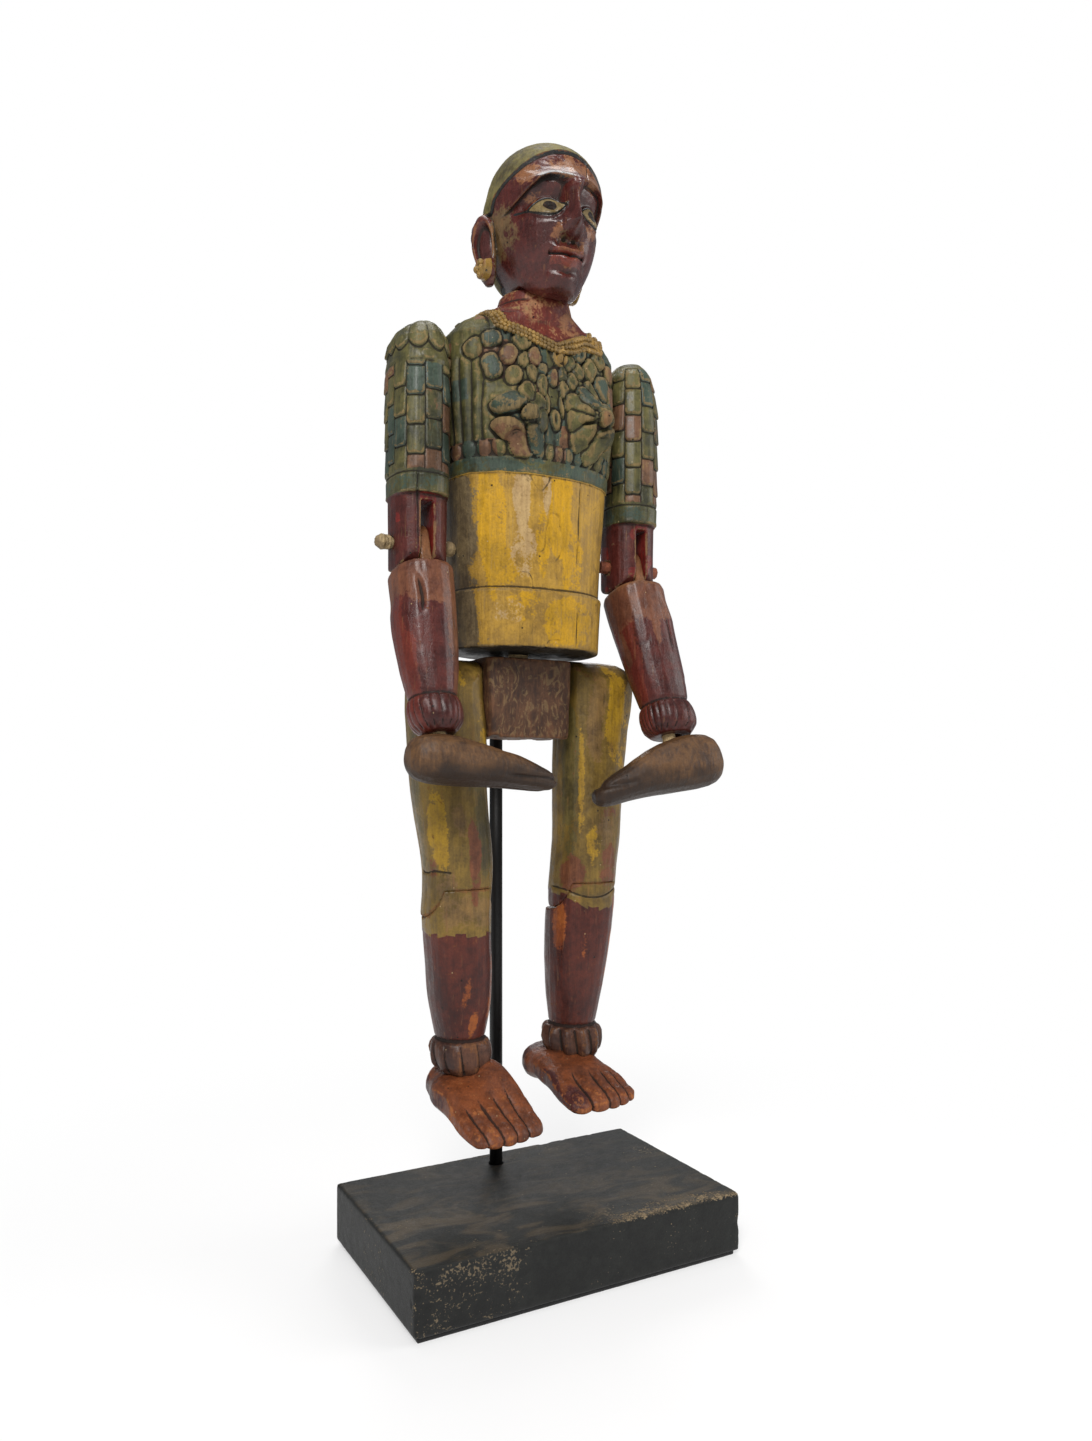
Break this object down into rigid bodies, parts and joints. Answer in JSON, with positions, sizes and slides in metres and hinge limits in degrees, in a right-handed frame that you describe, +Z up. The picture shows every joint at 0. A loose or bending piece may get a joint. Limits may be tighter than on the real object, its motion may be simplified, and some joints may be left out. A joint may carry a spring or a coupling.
{
  "type": "jointed wooden puppet",
  "caption": "Carved and painted wooden figure with pinned elbows, knees, hips, wrists, shoulders and neck, on a rod and a plinth.",
  "frame": {"origin": "centre of the flat underside of the stand", "axes": "+Z up, the figure faces -Y, its left side is +X, along the long side of the stand"},
  "size_m": [0.3081, 0.188, 0.954],
  "materials": {
    "stand_paint": "worn black paint",
    "stand_pad": "felt",
    "rod_steel": "black satin",
    "screw_steel": "plain",
    "blouse_paint": "worn paint on carved wood",
    "pale_wood": "bare",
    "brown_wood": "bare, dark with age",
    "skin_paint": "worn glossy paint",
    "hand_wood": "bare, rubbed",
    "trouser_paint": "worn paint",
    "shin_paint": "worn paint",
    "foot_paint": "worn paint"
  },
  "bodies": {
    "trunk": {"base_block": "stand_paint", "base_pad": "stand_pad", "support_rod": "rod_steel", "rod_screw": "screw_steel", "torso": "blouse_paint", "waist_dowel": "pale_wood", "pelvis": "brown_wood", "neck_peg": "pale_wood", "shoulder_peg_right": "pale_wood", "shoulder_peg_left": "pale_wood", "hip_pin": "pale_wood"},
    "head": {"head": "skin_paint"},
    "upper_arm_right": {"upper_arm_right": "blouse_paint", "elbow_pin_right": "pale_wood", "elbow_pin_cap_right": "pale_wood"},
    "upper_arm_left": {"upper_arm_left": "blouse_paint", "elbow_pin_left": "pale_wood"},
    "forearm_right": {"forearm_right": "skin_paint", "wrist_peg_right": "pale_wood"},
    "forearm_left": {"forearm_left": "skin_paint", "wrist_peg_left": "pale_wood"},
    "hand_right": {"hand_right": "hand_wood"},
    "hand_left": {"hand_left": "hand_wood"},
    "thigh_right": {"thigh_right": "trouser_paint", "knee_pin_right": "pale_wood"},
    "thigh_left": {"thigh_left": "trouser_paint", "knee_pin_left": "pale_wood"},
    "shin_right": {"shin_right": "shin_paint", "ankle_dowel_right": "pale_wood", "foot_right": "foot_paint"},
    "shin_left": {"shin_left": "shin_paint", "ankle_dowel_left": "pale_wood", "foot_left": "foot_paint"}
  },
  "joints": [
    {"name": "neck_turn", "type": "hinge", "parent": "trunk", "child": "head", "pos_m": [-0.001, 0.002, 0.828], "axis": [0, 0, 1], "range_deg": [-60, 60]},
    {"name": "shoulder_right", "type": "hinge", "parent": "trunk", "child": "upper_arm_right", "pos_m": [-0.106, 0.012, 0.762], "axis": [-1, 0, 0], "range_deg": [0, 150]},
    {"name": "shoulder_left", "type": "hinge", "parent": "trunk", "child": "upper_arm_left", "pos_m": [0.104, 0.012, 0.762], "axis": [-1, 0, 0], "range_deg": [0, 150]},
    {"name": "elbow_right", "type": "hinge", "parent": "upper_arm_right", "child": "forearm_right", "pos_m": [-0.106, 0.012, 0.607], "axis": [-1, 0, 0], "range_deg": [0, 65]},
    {"name": "elbow_left", "type": "hinge", "parent": "upper_arm_left", "child": "forearm_left", "pos_m": [0.104, 0.012, 0.607], "axis": [-1, 0, 0], "range_deg": [0, 62]},
    {"name": "wrist_right", "type": "hinge", "parent": "forearm_right", "child": "hand_right", "pos_m": [-0.106, -0.03376, 0.44743], "axis": [0, -0.2756, -0.9613], "range_deg": [0, 100]},
    {"name": "wrist_left", "type": "hinge", "parent": "forearm_left", "child": "hand_left", "pos_m": [0.112, -0.04204, 0.45004], "axis": [0, 0.3256, 0.9455], "range_deg": [0, 90]},
    {"name": "hip_right", "type": "hinge", "parent": "trunk", "child": "thigh_right", "pos_m": [-0.076, 0.035, 0.485], "axis": [-1, 0, 0], "range_deg": [-40, 0]},
    {"name": "hip_left", "type": "hinge", "parent": "trunk", "child": "thigh_left", "pos_m": [0.074, 0.035, 0.485], "axis": [-1, 0, 0], "range_deg": [-40, 0]},
    {"name": "knee_right", "type": "hinge", "parent": "thigh_right", "child": "shin_right", "pos_m": [-0.068, 0.032, 0.318], "axis": [1, 0, 0], "range_deg": [0, 80]},
    {"name": "knee_left", "type": "hinge", "parent": "thigh_left", "child": "shin_left", "pos_m": [0.066, 0.032, 0.318], "axis": [1, 0, 0], "range_deg": [0, 80]}
  ]
}
